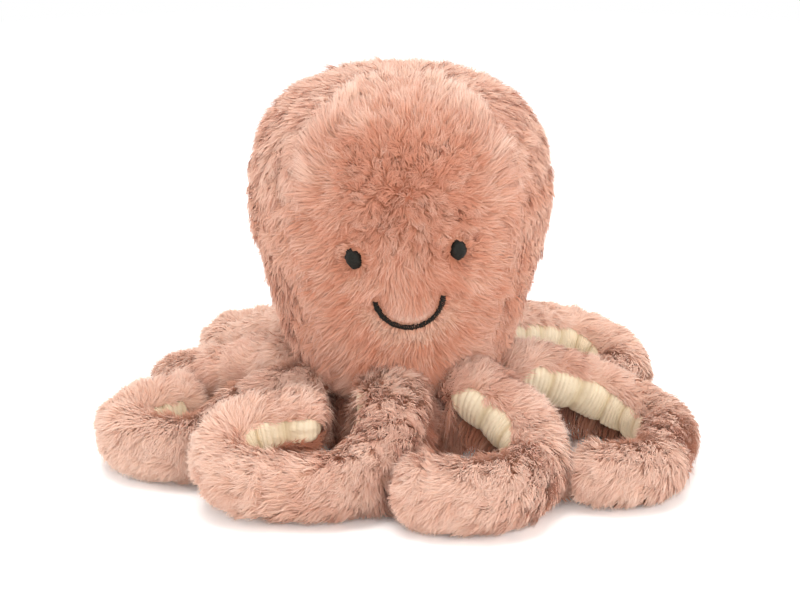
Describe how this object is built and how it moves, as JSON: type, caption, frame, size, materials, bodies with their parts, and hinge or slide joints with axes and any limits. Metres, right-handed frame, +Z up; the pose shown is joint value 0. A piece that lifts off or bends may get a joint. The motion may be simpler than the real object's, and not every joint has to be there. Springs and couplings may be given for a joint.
{
  "type": "plush octopus",
  "caption": "Sitting plush octopus with a pear-shaped head, a stitched smiling face and curled arms lined with gathered ribbed cloth.",
  "frame": {"origin": "middle of the flat sole under the head, on the table", "axes": "+Z up through the head's crown, -Y the way the face looks, +X to the right in the picture"},
  "size_m": [0.1686, 0.1664, 0.111],
  "materials": {
    "rose_pile": "long soft faux-fur pile, lying in tufts, dusty rose with pale tips",
    "cream_rib": "matt ribbed knit, drawn up in gathers",
    "fibre_fill": "loose hollow polyester fibre",
    "pouch_cloth": "plain woven inner pouch",
    "black_thread": "satin-stitched embroidery thread"
  },
  "bodies": {
    "head": {"head_gore_front": "rose_pile", "head_gore_right": "rose_pile", "head_gore_back": "rose_pile", "head_gore_left": "rose_pile", "head_stuffing": "fibre_fill", "eye_left": "black_thread", "eye_right": "black_thread", "mouth_stitching": "black_thread", "base_panel": "rose_pile", "bean_pouch": "pouch_cloth"},
    "arm_front": {"arm_front_cover": "rose_pile", "arm_front_strip": "cream_rib", "arm_front_stuffing": "fibre_fill"},
    "arm_front_right": {"arm_front_right_cover": "rose_pile", "arm_front_right_strip": "cream_rib", "arm_front_right_stuffing": "fibre_fill"},
    "arm_right": {"arm_right_cover": "rose_pile", "arm_right_strip": "cream_rib", "arm_right_stuffing": "fibre_fill"},
    "arm_back_right": {"arm_back_right_cover": "rose_pile", "arm_back_right_strip": "cream_rib", "arm_back_right_stuffing": "fibre_fill"},
    "arm_back": {"arm_back_cover": "rose_pile", "arm_back_strip": "cream_rib", "arm_back_stuffing": "fibre_fill"},
    "arm_back_left": {"arm_back_left_cover": "rose_pile", "arm_back_left_strip": "cream_rib", "arm_back_left_stuffing": "fibre_fill"},
    "arm_left": {"arm_left_cover": "rose_pile", "arm_left_strip": "cream_rib", "arm_left_stuffing": "fibre_fill"},
    "arm_front_left": {"arm_front_left_cover": "rose_pile", "arm_front_left_strip": "cream_rib", "arm_front_left_stuffing": "fibre_fill"}
  },
  "joints": [
    {"name": "arm_front_lift", "type": "hinge", "parent": "head", "child": "arm_front", "pos_m": [-0.00216, -0.03092, 0.026], "axis": [-1, 0, 0], "range_deg": [-5, 25], "stiffness_Nm_per_rad": 0.004},
    {"name": "arm_front_right_lift", "type": "hinge", "parent": "head", "child": "arm_front_right", "pos_m": [0.01778, -0.02539, 0.026], "axis": [-0.5736, -0.8192, 0], "range_deg": [-5, 25], "stiffness_Nm_per_rad": 0.004},
    {"name": "arm_right_lift", "type": "hinge", "parent": "head", "child": "arm_right", "pos_m": [0.03088, -0.0027, 0.023], "axis": [0.1908, -0.9816, 0], "range_deg": [-5, 25], "stiffness_Nm_per_rad": 0.004},
    {"name": "arm_back_right_lift", "type": "hinge", "parent": "head", "child": "arm_back_right", "pos_m": [0.02409, 0.01951, 0.026], "axis": [0.7314, -0.682, 0], "range_deg": [-5, 25], "stiffness_Nm_per_rad": 0.004},
    {"name": "arm_back_lift", "type": "hinge", "parent": "head", "child": "arm_back", "pos_m": [0.00378, 0.03077, 0.023], "axis": [0.9998, -0.0175, 0], "range_deg": [-5, 25], "stiffness_Nm_per_rad": 0.004},
    {"name": "arm_back_left_lift", "type": "hinge", "parent": "head", "child": "arm_back_left", "pos_m": [-0.01909, 0.02443, 0.026], "axis": [0.6947, 0.7193, 0], "range_deg": [-5, 25], "stiffness_Nm_per_rad": 0.004},
    {"name": "arm_left_lift", "type": "hinge", "parent": "head", "child": "arm_left", "pos_m": [-0.03062, 0.00485, 0.022], "axis": [0.3584, 0.9336, 0], "range_deg": [-5, 25], "stiffness_Nm_per_rad": 0.004},
    {"name": "arm_front_left_lift", "type": "hinge", "parent": "head", "child": "arm_front_left", "pos_m": [-0.02703, -0.01517, 0.021], "axis": [-0.213, 0.977, 0], "range_deg": [-5, 25], "stiffness_Nm_per_rad": 0.004}
  ]
}
